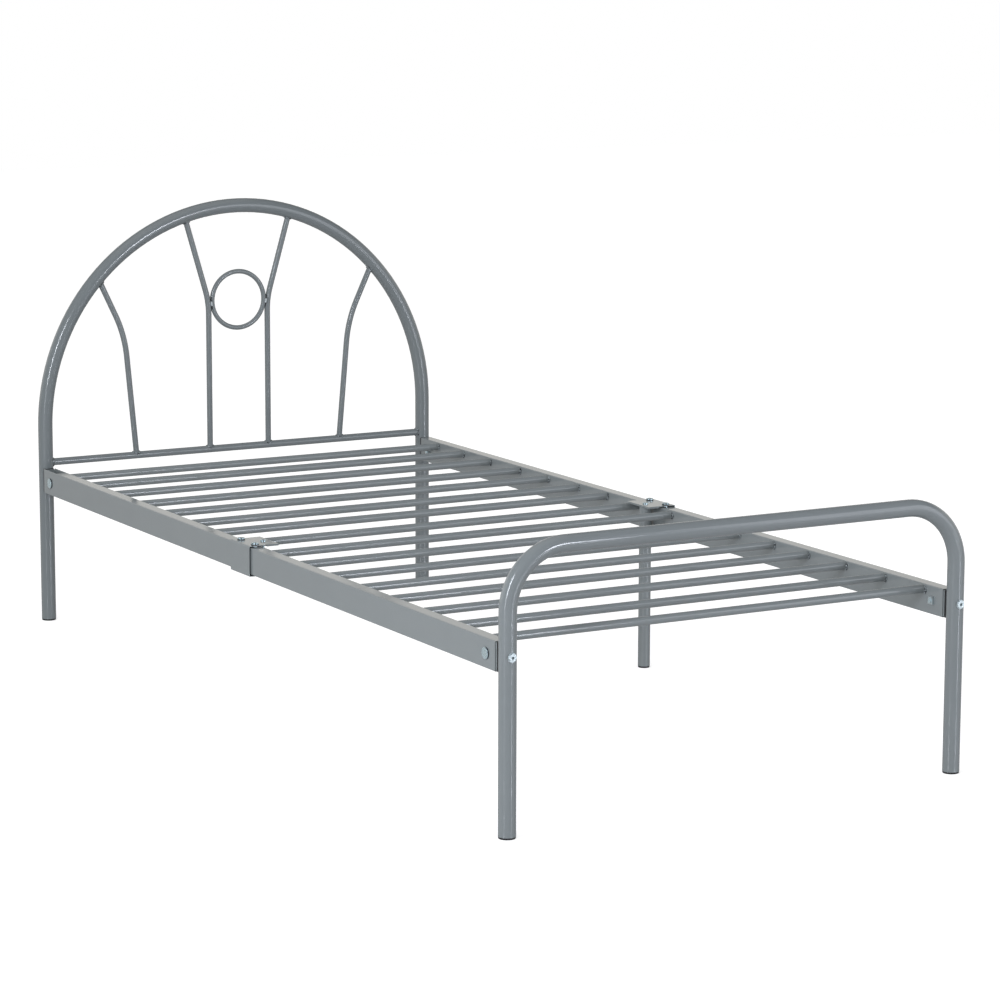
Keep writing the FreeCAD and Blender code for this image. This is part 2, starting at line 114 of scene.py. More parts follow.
def dress(nodes: Iterable[str], material: bpy.types.Material) -> None:
    """Gives construction nodes their finish.

    Args:
        nodes: names of the nodes.
        material: the finish, put in every slot of each node's mesh.
    """
    for name in nodes:
        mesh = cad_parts[name].data
        if not mesh.materials:
            mesh.materials.append(material)
        for index in range(len(mesh.materials)):
            mesh.materials[index] = material
        log.info("%s wears %s", name, material.name)


# ---------------------------------------------------------------- finishes


@dataclass(frozen=True)
class PowderCoat:
    """Polyester powder coat, baked on steel: semi-gloss grey with a faint orange peel.

    The eye sees an even grey that is a little blue in shade, soft long streaks where a tube mirrors
    the lamps, and a paler face where it is seen at a low angle.
    """

    name: str = "powder_coat_grey_semi_gloss"
    colour: str = "#7e8485"
    shade: str = "#797f81"        # the darker end of the random pattern, the same coat where it lies thinner; in the weld and crease coats it is painted shade
    roughness: float = 0.13
    roughness_swing: float = 0.02
    peel: float = 3.0             # mm between the swellings of the orange peel
    peel_depth: float = 0.006     # mm
    cloud: float = 140.0          # mm between thinner and thicker places
    spread: float = 0.5           # half of the pattern's range that goes from shade to colour
    gloss_range: tuple[float, float] = (0.3, 0.7)   # the pattern's range that changes the gloss
    ior: float = 1.55             # polyester

    def build(self) -> bpy.types.Material:
        """Makes the material.

        Returns:
            The finished material.
        """
        material = bpy.data.materials.new(self.name)
        material.use_nodes = True
        tree = material.node_tree
        tree.nodes.clear()
        place = add_node(tree, "ShaderNodeTexCoord").outputs["Object"]
        cloud = add_node(tree, "ShaderNodeTexNoise", inputs={
            "Vector": place, "Scale": per_mm(self.cloud), "Detail": 3.0}).outputs["Fac"]
        cover = add_node(tree, "ShaderNodeMapRange", inputs={
            "Value": cloud, "From Min": 0.5 - self.spread, "From Max": 0.5 + self.spread}).outputs[0]
        tint = add_node(tree, "ShaderNodeMix", {"data_type": "RGBA"}, {
            "Factor": cover, 6: linear(self.shade), 7: linear(self.colour)})
        peel = add_node(tree, "ShaderNodeTexNoise", inputs={
            "Vector": place, "Scale": per_mm(self.peel), "Detail": 1.0, "Roughness": 0.4}).outputs["Fac"]
        gloss = add_node(tree, "ShaderNodeMapRange", inputs={
            "Value": cloud, "From Min": self.gloss_range[0], "From Max": self.gloss_range[1],
            "To Min": self.roughness - self.roughness_swing,
            "To Max": self.roughness + self.roughness_swing})
        bump = add_node(tree, "ShaderNodeBump", inputs={
            "Height": peel, "Strength": 1.0, "Distance": self.peel_depth * MM})
        shader = add_node(tree, "ShaderNodeBsdfPrincipled", inputs={
            "Base Color": tint.outputs[2], "Roughness": gloss.outputs[0], "Normal": bump.outputs[0],
            "IOR": self.ior})
        add_node(tree, "ShaderNodeOutputMaterial", inputs={"Surface": shader.outputs[0]})
        return material


@dataclass(frozen=True)
class ZincPlate:
    """Bright zinc plating, blue passivated, on turned and stamped steel.

    The eye sees a cold, pale metal with a faint grain and a slightly cloudy gloss.
    """

    name: str = "zinc_plate_blue_bright"
    colour: str = "#d3e6ec"
    cloud_colour: str = "#bfd2da"
    roughness: float = 0.27
    roughness_swing: float = 0.08
    cloud: float = 3.0            # mm between cloudy places
    grain: float = 0.35           # mm between the marks of the plating
    grain_depth: float = 0.004    # mm

    def build(self) -> bpy.types.Material:
        """Makes the material.

        Returns:
            The finished material.
        """
        material = bpy.data.materials.new(self.name)
        material.use_nodes = True
        tree = material.node_tree
        tree.nodes.clear()
        place = add_node(tree, "ShaderNodeTexCoord").outputs["Object"]
        cloud = add_node(tree, "ShaderNodeTexNoise", inputs={
            "Vector": place, "Scale": per_mm(self.cloud), "Detail": 2.0}).outputs["Fac"]
        tint = add_node(tree, "ShaderNodeMix", {"data_type": "RGBA"}, {
            "Factor": cloud, 6: linear(self.cloud_colour), 7: linear(self.colour)})
        grain = add_node(tree, "ShaderNodeTexNoise", inputs={
            "Vector": place, "Scale": per_mm(self.grain), "Detail": 2.0}).outputs["Fac"]
        gloss = add_node(tree, "ShaderNodeMapRange", inputs={
            "Value": grain, "To Min": self.roughness - self.roughness_swing,
            "To Max": self.roughness + self.roughness_swing})
        bump = add_node(tree, "ShaderNodeBump", inputs={
            "Height": grain, "Strength": 1.0, "Distance": self.grain_depth * MM})
        shader = add_node(tree, "ShaderNodeBsdfPrincipled", inputs={
            "Base Color": tint.outputs[2], "Roughness": gloss.outputs[0], "Normal": bump.outputs[0],
            "Metallic": 1.0})
        add_node(tree, "ShaderNodeOutputMaterial", inputs={"Surface": shader.outputs[0]})
        return material


@dataclass(frozen=True)
class MouldedPolyethylene:
    """Black polyethylene, injection moulded: matt, with a fine grain from the mould.

    The eye sees near-black rims under the legs and thin black lines under the bolt heads, with a soft
    grey sheen at their edges.
    """

    name: str = "polyethylene_black_moulded"
    colour: str = "#101112"
    scuff_colour: str = "#1b1c1e"
    roughness: float = 0.55
    grain: float = 0.8            # mm between the grains, drawn coarser than the real 0.2
    grain_depth: float = 0.02     # mm
    ior: float = 1.51             # polyethylene

    def build(self) -> bpy.types.Material:
        """Makes the material.

        Returns:
            The finished material.
        """
        material = bpy.data.materials.new(self.name)
        material.use_nodes = True
        tree = material.node_tree
        tree.nodes.clear()
        place = add_node(tree, "ShaderNodeTexCoord").outputs["Object"]
        grain = add_node(tree, "ShaderNodeTexNoise", inputs={
            "Vector": place, "Scale": per_mm(self.grain), "Detail": 3.0}).outputs["Fac"]
        tint = add_node(tree, "ShaderNodeMix", {"data_type": "RGBA"}, {
            "Factor": grain, 6: linear(self.colour), 7: linear(self.scuff_colour)})
        bump = add_node(tree, "ShaderNodeBump", inputs={
            "Height": grain, "Strength": 1.0, "Distance": self.grain_depth * MM})
        shader = add_node(tree, "ShaderNodeBsdfPrincipled", inputs={
            "Base Color": tint.outputs[2], "Normal": bump.outputs[0], "Roughness": self.roughness,
            "IOR": self.ior})
        add_node(tree, "ShaderNodeOutputMaterial", inputs={"Surface": shader.outputs[0]})
        return material


@dataclass(frozen=True)
class WhiteAcrylic:
    """White acrylic sheet, cast and polished, that the bed stands on.

    The lens sees plain white with the bed's soft shadow; the paint and the zinc also see its gloss.
    """

    name: str = "acrylic_white_polished"
    colour: str = "#d2d2d2"
    glow: float = 0.66            # part of the white that shows whatever the shade
    roughness: float = 0.09
    ior: float = 1.49             # acrylic

    def build(self) -> bpy.types.Material:
        """Makes the material.

        Returns:
            The finished material.
        """
        material = bpy.data.materials.new(self.name)
        material.use_nodes = True
        tree = material.node_tree
        tree.nodes.clear()
        rays = add_node(tree, "ShaderNodeLightPath").outputs
        matt = add_node(tree, "ShaderNodeBsdfDiffuse", inputs={"Color": linear(self.colour)})
        glow = add_node(tree, "ShaderNodeEmission", inputs={"Strength": self.glow})
        white = add_node(tree, "ShaderNodeAddShader", inputs={0: matt.outputs[0], 1: glow.outputs[0]})
        mirror = add_node(tree, "ShaderNodeBsdfGlossy", inputs={"Roughness": self.roughness})
        fresnel = add_node(tree, "ShaderNodeFresnel", inputs={"IOR": self.ior})
        polished = add_node(tree, "ShaderNodeMixShader", inputs={
            0: fresnel.outputs[0], 1: matt.outputs[0], 2: mirror.outputs[0]})
        gloss = add_node(tree, "ShaderNodeMath", {"operation": "MAXIMUM"}, {
            0: rays["Is Glossy Ray"], 1: rays["Is Transmission Ray"]}).outputs[0]
        indoors = add_node(tree, "ShaderNodeMixShader", inputs={
            0: gloss, 1: matt.outputs[0], 2: polished.outputs[0]})
        seen = add_node(tree, "ShaderNodeMixShader", inputs={
            0: rays["Is Camera Ray"], 1: indoors.outputs[0], 2: white.outputs[0]})
        add_node(tree, "ShaderNodeOutputMaterial", inputs={"Surface": seen.outputs[0]})
        return material


# ---------------------------------------------------------------- weld beads


@dataclass(frozen=True)
class RoundWall:
    """The outside of a straight round tube that another tube is welded to."""

    core: Vector                  # a point on the tube's axis
    run: Vector                   # along the tube
    radius: float

    def reach(self, start: Vector, way: Vector) -> float:
        """Measures how far the wall lies from a point in one direction.

        Args:
            start: the point.
            way: the direction, of length 1.

        Returns:
            The signed distance to the nearer crossing, or to where the line passes closest.
        """
        run = self.run.normalized()
        offset = (start - self.core).cross(run)
        slope = way.cross(run)
        square = slope.dot(slope)
        half = offset.dot(slope)
        rest = half * half - square * (offset.dot(offset) - self.radius ** 2)
        root = math.sqrt(max(rest, 0.0))
        return min(((-half - root) / square, (-half + root) / square), key=abs)


@dataclass
class WeldBead:
    """A fillet bead round the end of a tube, laid as overlapping drops.

    The bead's section is turned about the tube's axis and then moved along that axis, so that it
    follows the surface that the tube stands on.
    """

    name: str
    centre: Vector                # a point on the tube's axis, in the plane of the wall
    axis: Vector                  # along the tube, away from the wall
    tube_radius: float
    bead_radius: float
    start: Vector                 # from the axis to where the bead begins
    sweep: float = FULL_TURN      # how far round the tube it goes
    sections: int = 20            # steps along the bead
    corners: int = 8              # round the bead's own section
    ripple: float = 0.14          # swelling of each drop, as a part of the bead's radius
    drops: int = 5                # along the whole bead
    wander: float = 0.12          # random change of a section's size, as a part of the bead's radius
    taper: float = 0.55           # size of an open bead's two ends
    taper_part: float = 0.25      # part of an open bead over which each end thins out
    merge: float = 0.02           # corners closer than this part of the bead's radius become one
    seat: Callable[[Vector], float] = field(default=lambda radial: 0.0)   # along the axis, to the wall
    seed: int = 1

    def build(self) -> bpy.types.Object:
        """Models the bead.

        Returns:
            The bead as a closed mesh in its final place.
        """
        closed = math.isclose(self.sweep, FULL_TURN)
        deselect()
        radial = self.start.normalized()
        middle = self.centre + radial * self.tube_radius
        across = self.axis.cross(radial).normalized()
        turn = Vector((0, 0, 1)).rotation_difference(across)
        bpy.ops.mesh.primitive_circle_add(vertices=self.corners, radius=self.bead_radius,
                                          location=middle, rotation=turn.to_euler(),
                                          fill_type="NOTHING" if closed else "NGON")
        bead = bpy.context.object
        bead.name = self.name
        bead.data.name = self.name
        bpy.ops.object.transform_apply(location=True, rotation=True, scale=True)
        bpy.ops.object.mode_set(mode="EDIT")
        bpy.ops.mesh.select_all(action="SELECT")
        bpy.ops.mesh.spin(steps=self.sections, angle=-self.sweep, center=self.centre, axis=self.axis)
        bpy.ops.mesh.select_all(action="SELECT")
        bpy.ops.mesh.remove_doubles(threshold=self.bead_radius * self.merge)
        self._shape_sections(bead, closed)
        bpy.ops.mesh.select_all(action="SELECT")
        bpy.ops.mesh.normals_make_consistent(inside=False)
        bpy.ops.object.mode_set(mode="OBJECT")
        bpy.ops.object.shade_smooth()
        return bead

    def _shape_sections(self, bead: bpy.types.Object, closed: bool) -> None:
        """Swells each section into the drop that it belongs to and seats it on the wall.

        Args:
            bead: the object, in edit mode.
            closed: whether the bead goes all the way round.
        """
        dice = random.Random(self.seed)
        first = self.start.normalized()
        second = self.axis.cross(first)
        count = self.sections if closed else self.sections + 1
        step = self.sweep / self.sections
        groups = self._group_sections(bead, first, second, step, count)
        for index in range(count):
            angle = index * step
            radial = first * math.cos(angle) + second * math.sin(angle)
            place = self.centre + radial * self.tube_radius
            wave = abs(math.sin(math.pi * self.drops * index / self.sections))
            size = 1.0 - self.ripple + 2 * self.ripple * wave + dice.uniform(-self.wander, self.wander)
            if not closed:
                reach = min(index, count - 1 - index) / (self.taper_part * count)
                size *= self.taper + (1 - self.taper) * min(1.0, reach)
            self._select(bead, groups[index])
            bpy.ops.transform.resize(value=(size, size, size), center_override=place)
            shift = self.axis.normalized() * self.seat(radial)
            bpy.ops.transform.translate(value=shift)

    def _group_sections(self, bead: bpy.types.Object, first: Vector, second: Vector, step: float,
                        count: int) -> list[list[int]]:
        """Sorts the vertices into the sections that the spin made.

        Args:
            bead: the object, in edit mode.
            first: direction of the first section.
            second: direction a quarter turn further on.
            step: angle between two sections.
            count: how many sections there are.

        Returns:
            Vertex numbers for each section.
        """
        groups: list[list[int]] = [[] for _ in range(count)]
        shape = bmesh.from_edit_mesh(bead.data)
        for vertex in shape.verts:
            arm = vertex.co - self.centre
            angle = math.atan2(arm.dot(second), arm.dot(first)) + step / 2
            groups[int(angle % FULL_TURN / step)].append(vertex.index)
        return groups

    @staticmethod
    def _select(bead: bpy.types.Object, numbers: list[int]) -> None:
        """Selects the vertices with the given numbers and no others.

        Args:
            bead: the object, in edit mode.
            numbers: vertex numbers.
        """
        shape = bmesh.from_edit_mesh(bead.data)
        wanted = set(numbers)
        for vertex in shape.verts:
            vertex.select = vertex.index in wanted
        shape.select_flush(True)
        bmesh.update_edit_mesh(bead.data)


def copy_piece(piece: bpy.types.Object, name: str, shift: Vector) -> bpy.types.Object:
    """Copies a piece with its own mesh and moves the mesh.

    Args:
        piece: the piece to copy.
        name: the copy's name.
        shift: how far the copy stands from the original.

    Returns:
        The copy.
    """
    twin = piece.copy()
    twin.data = piece.data.copy()
    twin.name = name
    twin.data.name = name
    bpy.context.scene.collection.objects.link(twin)
    twin.data.transform(Matrix.Translation(shift))
    return twin


def join_pieces(pieces: list[bpy.types.Object], name: str) -> bpy.types.Object:
    """Joins pieces into one object with its origin at the frame's origin.

    Args:
        pieces: what is joined; the first one stays.
        name: the joined object's name.

    Returns:
        The joined object.
    """
    deselect()
    for piece in pieces:
        piece.select_set(True)
    bpy.context.view_layer.objects.active = pieces[0]
    bpy.ops.object.join()
    whole = bpy.context.object
    whole.name = name
    whole.data.name = name
    return whole


# ---------------------------------------------------------------- studio


@dataclass
class Lamp:
    """A rectangular soft box."""

    name: str
    place: tuple[float, float, float]   # m, of its middle
    aim: tuple[float, float, float]
    width: float                  # m
    height: float                 # m
    watts: float
    colour: str = "#ffffff"

    def build(self) -> bpy.types.Object:
        """Hangs the soft box and turns it to its aim.

        Returns:
            The lamp object.
        """
        light = bpy.data.lights.new(self.name, "AREA")
        light.shape = "RECTANGLE"
        light.size = self.width
        light.size_y = self.height
        light.energy = self.watts
        light.color = linear(self.colour)[:3]
        lamp = bpy.data.objects.new(self.name, light)
        bpy.context.scene.collection.objects.link(lamp)
        lamp.location = self.place
        way = Vector(self.aim) - Vector(self.place)
        lamp.rotation_euler = way.to_track_quat("-Z", "Y").to_euler()
        return lamp


@dataclass
class Studio:
    """The white acrylic floor, the soft boxes, the pale surroundings and the camera."""

    floor_size: float = 24.0      # m
    fill: float = 0.57            # light that the surroundings give to matt surfaces
    fill_swing: float = 0.57      # how much more comes from the left, and how much less from the right
    back_colour: str = "#fdfbf6"  # the lit backdrop, as the paint and the zinc mirror it
    back_level: float = 0.92
    room_colour: str = "#dfe8f5"  # the darker room over and in front of the backdrop
    room_level: float = 0.12
    back_way: tuple[float, float, float] = (0.49, 0.87, 0.0)   # towards the backdrop's middle
    back_edge: tuple[float, float] = (-0.45, 0.25)   # cosines to back_way where it begins and is full
    backdrop_top: float = 24.0    # degrees above the horizon
    backdrop_blur: float = 0.12   # half of the band over which its top fades, as a sine
    eye: tuple[float, float, float] = (-3.1318, -5.7219, 1.5108)   # m
    yaw: float = 29.393           # degrees from +Y towards +X
    pitch: float = 9.940          # degrees below the horizon
    roll: float = 0.176           # degrees
    lens: float = 125.54          # mm
    film: float = 36.0            # mm
    far: float = 100.0            # m, past which nothing is drawn
    lamps: tuple[Lamp, ...] = (
        Lamp("left_strip", (-3.6, -2.25, 1.85), (-0.44, -0.4, 0.6), 0.45, 1.9, 78.0, "#f2f6ff"),
        Lamp("left_strip_foot", (-3.6, -2.25, 0.4), (-0.44, -0.4, 0.3), 0.38, 0.7, 7.0, "#f2f6ff"),
        Lamp("right_box", (2.5, -6.8, 1.2), (0.0, 0.0, 0.4), 1.1, 1.3, 92.0, "#f0f4ff"),
        Lamp("right_wall", (3.2, -3.8, 1.3), (0.0, -0.6, 0.4), 2.4, 3.0, 48.0, "#f4f7ff"),
        Lamp("overhead", (0.0, 0.4, 3.4), (0.0, 0.0, 0.3), 3.0, 3.4, 10.0, "#fff8ef"),
    )

    def build(self) -> None:
        """Builds the floor, the light and the camera."""
        self._floor()
        self._surroundings()
        for lamp in self.lamps:
            lamp.build()
        self._camera()
        bpy.context.scene.view_settings.view_transform = "Standard"

    def _floor(self) -> None:
        """Lays the acrylic top."""
        deselect()
        bpy.ops.mesh.primitive_plane_add(size=self.floor_size, location=(0, 0, 0))
        floor = bpy.context.object
        floor.name = "acrylic_floor"
        floor.data.materials.append(WhiteAcrylic().build())

    def _surroundings(self) -> None:
        """Lights the object softly, more from the left, and shows white behind it."""
        world = bpy.data.worlds.new("studio")
        bpy.context.scene.world = world
        world.use_nodes = True
        tree = world.node_tree
        tree.nodes.clear()
        rays = add_node(tree, "ShaderNodeLightPath").outputs
        way = add_node(tree, "ShaderNodeTexCoord").outputs["Generated"]
        facing = add_node(tree, "ShaderNodeVectorMath", {"operation": "DOT_PRODUCT"}, {
            0: way, 1: self.back_way}).outputs["Value"]
        behind = add_node(tree, "ShaderNodeMapRange", {"interpolation_type": "SMOOTHSTEP"}, {
            "Value": facing, "From Min": self.back_edge[0], "From Max": self.back_edge[1]}).outputs[0]
        rise = add_node(tree, "ShaderNodeSeparateXYZ", inputs={0: way}).outputs["Z"]
        top = math.sin(math.radians(self.backdrop_top))
        below = add_node(tree, "ShaderNodeMapRange", {"interpolation_type": "SMOOTHSTEP"}, {
            "Value": rise, "From Min": top + self.backdrop_blur,
            "From Max": top - self.backdrop_blur}).outputs[0]
        part = add_node(tree, "ShaderNodeMath", {"operation": "MULTIPLY"}, {0: behind, 1: below})
        back = add_node(tree, "ShaderNodeBackground", inputs={
            "Color": linear(self.back_colour), "Strength": self.back_level})
        room = add_node(tree, "ShaderNodeBackground", inputs={
            "Color": linear(self.room_colour), "Strength": self.room_level})
        mirrored = add_node(tree, "ShaderNodeMixShader", inputs={
            0: part.outputs[0], 1: room.outputs[0], 2: back.outputs[0]})
        leftward = add_node(tree, "ShaderNodeVectorMath", {"operation": "DOT_PRODUCT"}, {
            0: way, 1: (-1.0, 0.0, 0.0)}).outputs["Value"]
        level = add_node(tree, "ShaderNodeMapRange", inputs={
            "Value": leftward, "From Min": -1.0, "From Max": 1.0,
            "To Min": self.fill - self.fill_swing, "To Max": self.fill + self.fill_swing})
        soft = add_node(tree, "ShaderNodeBackground", inputs={
            "Color": linear("#ffffff"), "Strength": level.outputs[0]})
        white = add_node(tree, "ShaderNodeBackground", inputs={"Color": linear("#ffffff"), "Strength": 1.0})
        gloss = add_node(tree, "ShaderNodeMath", {"operation": "MAXIMUM"}, {
            0: rays["Is Glossy Ray"], 1: rays["Is Transmission Ray"]}).outputs[0]
        first = add_node(tree, "ShaderNodeMixShader", inputs={
            0: gloss, 1: soft.outputs[0], 2: mirrored.outputs[0]})
        last = add_node(tree, "ShaderNodeMixShader", inputs={
            0: rays["Is Camera Ray"], 1: first.outputs[0], 2: white.outputs[0]})
        add_node(tree, "ShaderNodeOutputWorld", inputs={"Surface": last.outputs[0]})

    def _camera(self) -> None:
        """Sets up the camera."""
        data = bpy.data.cameras.new("camera")
        camera = bpy.data.objects.new("camera", data)
        bpy.context.scene.collection.objects.link(camera)
        data.sensor_width = self.film
        data.lens = self.lens
        data.clip_end = self.far
        turn = (Matrix.Rotation(math.radians(-self.yaw), 4, "Z")
                @ Matrix.Rotation(math.radians(90.0 - self.pitch), 4, "X")
                @ Matrix.Rotation(math.radians(self.roll), 4, "Z"))
        camera.matrix_world = Matrix.Translation(self.eye) @ turn
        bpy.context.scene.camera = camera


# ---------------------------------------------------------------- the bed's sub-assemblies


@dataclass
class Finishes:
    """The materials that the sub-assemblies share."""

    tube_coat: bpy.types.Material
    # the headboard and footboard coats are darker copies of the tube coat: painted shade
    headboard_painted_shade_coat: bpy.types.Material
    footboard_painted_shade_coat: bpy.types.Material
    sheet_coat: bpy.types.Material
    weld_coat_painted_glints_and_shade: bpy.types.Material
    crease_shade_coat: bpy.types.Material
    tack_highlight_coat: bpy.types.Material
    zinc: bpy.types.Material
    satin_zinc: bpy.types.Material
    plastic: bpy.types.Material

    @staticmethod
    def make() -> "Finishes":
        """Makes every finish once.

        Returns:
            The set of finishes.
        """
        return Finishes(
            tube_coat=PowderCoat().build(),
            # Darker copies of the tube coat for the headboard and the footboard: painted shade for the
            # lesser light that falls on them, most on the headboard.
            headboard_painted_shade_coat=PowderCoat(name="powder_coat_grey_headboard_batch", colour="#757b7d",
                                      shade="#707678", cloud=170.0).build(),
            footboard_painted_shade_coat=PowderCoat(name="powder_coat_grey_footboard_batch", colour="#7b8183",
                                      shade="#767c7e", cloud=170.0).build(),
            sheet_coat=PowderCoat(name="powder_coat_grey_on_flat_steel", cloud=90.0).build(),
            # Over the welds the pattern is sharp and wide: its near-black blobs are painted shade of the
            # crevices round a bead, and its pale colour paints the bead's glints.
            weld_coat_painted_glints_and_shade=PowderCoat(name="powder_coat_grey_over_weld", colour="#8a9295", shade="#17191b",
                                 roughness=0.14, peel=1.8, peel_depth=0.10, cloud=3.6,
                                 spread=0.12).build(),
            # The crease coat is near black: painted shade, laid as a thin run in the crease between the ring
            # and a spindle.
            crease_shade_coat=PowderCoat(name="powder_coat_grey_thin_in_crease", colour="#34383a",
                                   shade="#16181a", roughness=0.30, peel=1.8, cloud=5.0).build(),
            # The tack coat is much paler than the paint: a painted highlight on the tack.
            tack_highlight_coat=PowderCoat(name="powder_coat_grey_pooled_on_tack", colour="#b9c0c3",
                                 shade="#9aa1a4", peel=1.8, peel_depth=0.04, cloud=4.0).build(),
            zinc=ZincPlate().build(),
            satin_zinc=ZincPlate(name="zinc_plate_satin", colour="#d8e2e4", cloud_colour="#c6d0d3",
                                 roughness=0.55).build(),
            plastic=MouldedPolyethylene().build())


@dataclass
class SubAssembly:
    """What every sub-assembly shares: its finishes and the list of new pieces."""

    finishes: Finishes
    pieces: list[bpy.types.Object] = field(default_factory=list)

    def build(self) -> None:
        """Dresses the construction's nodes and adds the new pieces."""
        raise NotImplementedError

    def add(self, piece: bpy.types.Object, material: bpy.types.Material, slot: str) -> None:
        """Finishes a new piece and makes it ride on the bed.

        Args:
            piece: the piece, in place.
            material: its finish.
            slot: the record's material slot for it; not used.
        """
        piece.data.materials.clear()
        piece.data.materials.append(material)
        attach(piece, BODY)
        self.pieces.append(piece)
        log.info("%s: %d faces", piece.name, len(piece.data.polygons))


@dataclass(frozen=True)
class Spindle:
    """How one of the headboard's bent bars runs."""

    name: str
    lean: float                   # from upright, outward, below the bend
    upper_lean: float             # the same above the bend
    bend_height: float            # where the two straight runs would meet


@dataclass
class Headboard(SubAssembly):
    """The arch with its cross rail, spindles and ring, and the welds between them."""

    bead: float = 2.1 * MM        # radius of a bead's own section, round a tube's end
    stand: float = 0.3            # part of the bead's radius by which its middle stands off the tube
    kinds: tuple[Spindle, ...] = (
        Spindle("inner", 0.0, math.radians(16.3), 649.0 * MM),
        Spindle("outer", math.radians(5.2), math.radians(25.4), 590.0 * MM))
    spindle_r: float = 6.0 * MM   # of the spindles' rod
    crease_r: float = 63.6 * MM   # from the ring's centre to the crease between ring and spindle
    crease_y: float = 3.6 * MM    # from the middle plane to that crease
    run_bead: float = 1.9 * MM    # the same for the run in the crease, a near-black bead that paints the crease's shade
    run_ends: tuple[float, float] = (math.radians(-16.0), math.radians(8.0))
    tack_bead: float = 2.5 * MM   # and for the tack over it, which is pale: a painted highlight
    tack_ends: tuple[float, float] = (math.radians(-9.4), math.radians(-0.6))
    tack_lift: float = 0.9 * MM   # how much further than the run it stands out of the crease
    rail_seed: int = 3
    foot_seed: int = 11
    top_seed: int = 21
    ring_seed: int = 31
    tube_r: float = field(init=False)     # of the arch's tube
    leg_x: float = field(init=False)      # from the middle to a leg's axis
    crown: Vector = field(init=False)     # centre of the arch's half circle
    rail_r: float = field(init=False)     # of the cross rail
    rail: Vector = field(init=False)      # middle of the cross rail's axis

    def __post_init__(self) -> None:
        """Reads the arch's and the cross rail's sizes from the construction."""
        low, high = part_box("headboard_arch_tube")
        self.tube_r = (high.y - low.y) / 2
        self.leg_x = high.x - self.tube_r
        self.crown = Vector((0.0, (low.y + high.y) / 2, high.z - self.tube_r - self.leg_x))
        low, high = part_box("headboard_cross_rail")
        self.rail_r = (high.z - low.z) / 2
        self.rail = Vector((0.0, self.crown.y, (low.z + high.z) / 2))

    def build(self) -> None:
        """Dresses the tubes and lays the welds."""
        names = [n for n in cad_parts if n.startswith("headboard_")]
        dress(names, self.finishes.headboard_painted_shade_coat)
        for side in Side:
            self._rail_end(side)
            for kind in self.kinds:
                self._spindle_ends(side, kind)
            self._ring_tacks(side)

    def _lay(self, name: str, centre: Vector, axis: Vector, radius: float, wall: RoundWall,
             seed: int) -> None:
        """Lays a bead all the way round a tube's end.

        Args:
            name: the bead's name.
            centre: where the tube's axis meets the wall.
            axis: along the tube, away from the wall.
            radius: the tube's radius.
            wall: what the tube stands on.
            seed: start of the random draws.
        """
        axis = axis.normalized()
        ring = radius + self.stand * self.bead

        def seat(radial: Vector) -> float:
            """How far along the tube's axis the wall lies under one point of the bead."""
            return wall.reach(centre + radial * ring, axis)

        bead = WeldBead(name=name, centre=centre, axis=axis, tube_radius=ring, bead_radius=self.bead,
                        start=Vector((0, 1, 0)), sections=24, drops=4, seat=seat, seed=seed)
        self.add(bead.build(), self.finishes.weld_coat_painted_glints_and_shade, "grey_paint")

    def _rail_end(self, side: Side) -> None:
        """Lays the bead between the cross rail and a leg.

        Args:
            side: the leg.
        """
        leg = RoundWall(Vector((side.value * self.leg_x, self.crown.y, 0.0)), Vector((0, 0, 1)), self.tube_r)
        centre = Vector((side.value * (self.leg_x - self.tube_r), self.crown.y, self.rail.z))
        self._lay("cross_rail_weld_" + side.name.lower(), centre, Vector((-side.value, 0, 0)),
                  self.rail_r, leg, self.rail_seed + side.value)

    def _spindle_ends(self, side: Side, kind: Spindle) -> None:
        """Lays the beads at a spindle's foot and at its top.

        Args:
            side: the side of the headboard.
            kind: which of the two spindles on that side.
        """
        place = side.name.lower()
        low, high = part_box("headboard_spindle_%s_%s" % (kind.name, place))
        inner_edge = min(abs(low.x), abs(high.x))
        foot_x = inner_edge + self.spindle_r / math.cos(kind.lean)
        foot = Vector((side.value * foot_x, self.crown.y, self.rail.z + self.rail_r))
        up = Vector((side.value * math.sin(kind.lean), 0, math.cos(kind.lean)))
        rail = RoundWall(self.rail, Vector((1, 0, 0)), self.rail_r)
        self._lay("%s_spindle_foot_weld_%s" % (kind.name, place), foot, up, self.spindle_r, rail,
                  self.foot_seed + side.value)
        bend = foot + up * ((kind.bend_height - foot.z) / up.z)
        way = Vector((side.value * math.sin(kind.upper_lean), 0, math.cos(kind.upper_lean)))
        arm = bend - self.crown
        inside = self.leg_x - self.tube_r
        run = -arm.dot(way) + math.sqrt(arm.dot(way) ** 2 - arm.dot(arm) + inside ** 2)
        top = bend + way * run
        outward = (top - self.crown).normalized()
        arch = RoundWall(self.crown + outward * self.leg_x, outward.cross(Vector((0, 1, 0))), self.tube_r)
        self._lay("%s_spindle_top_weld_%s" % (kind.name, place), top, -way, self.spindle_r, arch,
                  self.top_seed + side.value)

    def _ring_tacks(self, side: Side) -> None:
        """Lays a thin near-black run, painted shade in the crease, and a short pale tack with a painted
        highlight, front and back, where the ring meets an inner spindle.

        Args:
            side: the side of the headboard.
        """
        runs = []
        tacks = []
        for face in (-1, 1):
            runs.append(self._crease_bead(side, face, self.run_bead, self.run_ends, 0.0))
            tacks.append(self._crease_bead(side, face, self.tack_bead, self.tack_ends, self.tack_lift))
        place = side.name.lower()
        self.add(join_pieces(runs, "ring_runs_" + place), self.finishes.crease_shade_coat, "grey_paint")
        self.add(join_pieces(tacks, "ring_tacks_" + place), self.finishes.tack_highlight_coat, "grey_paint")

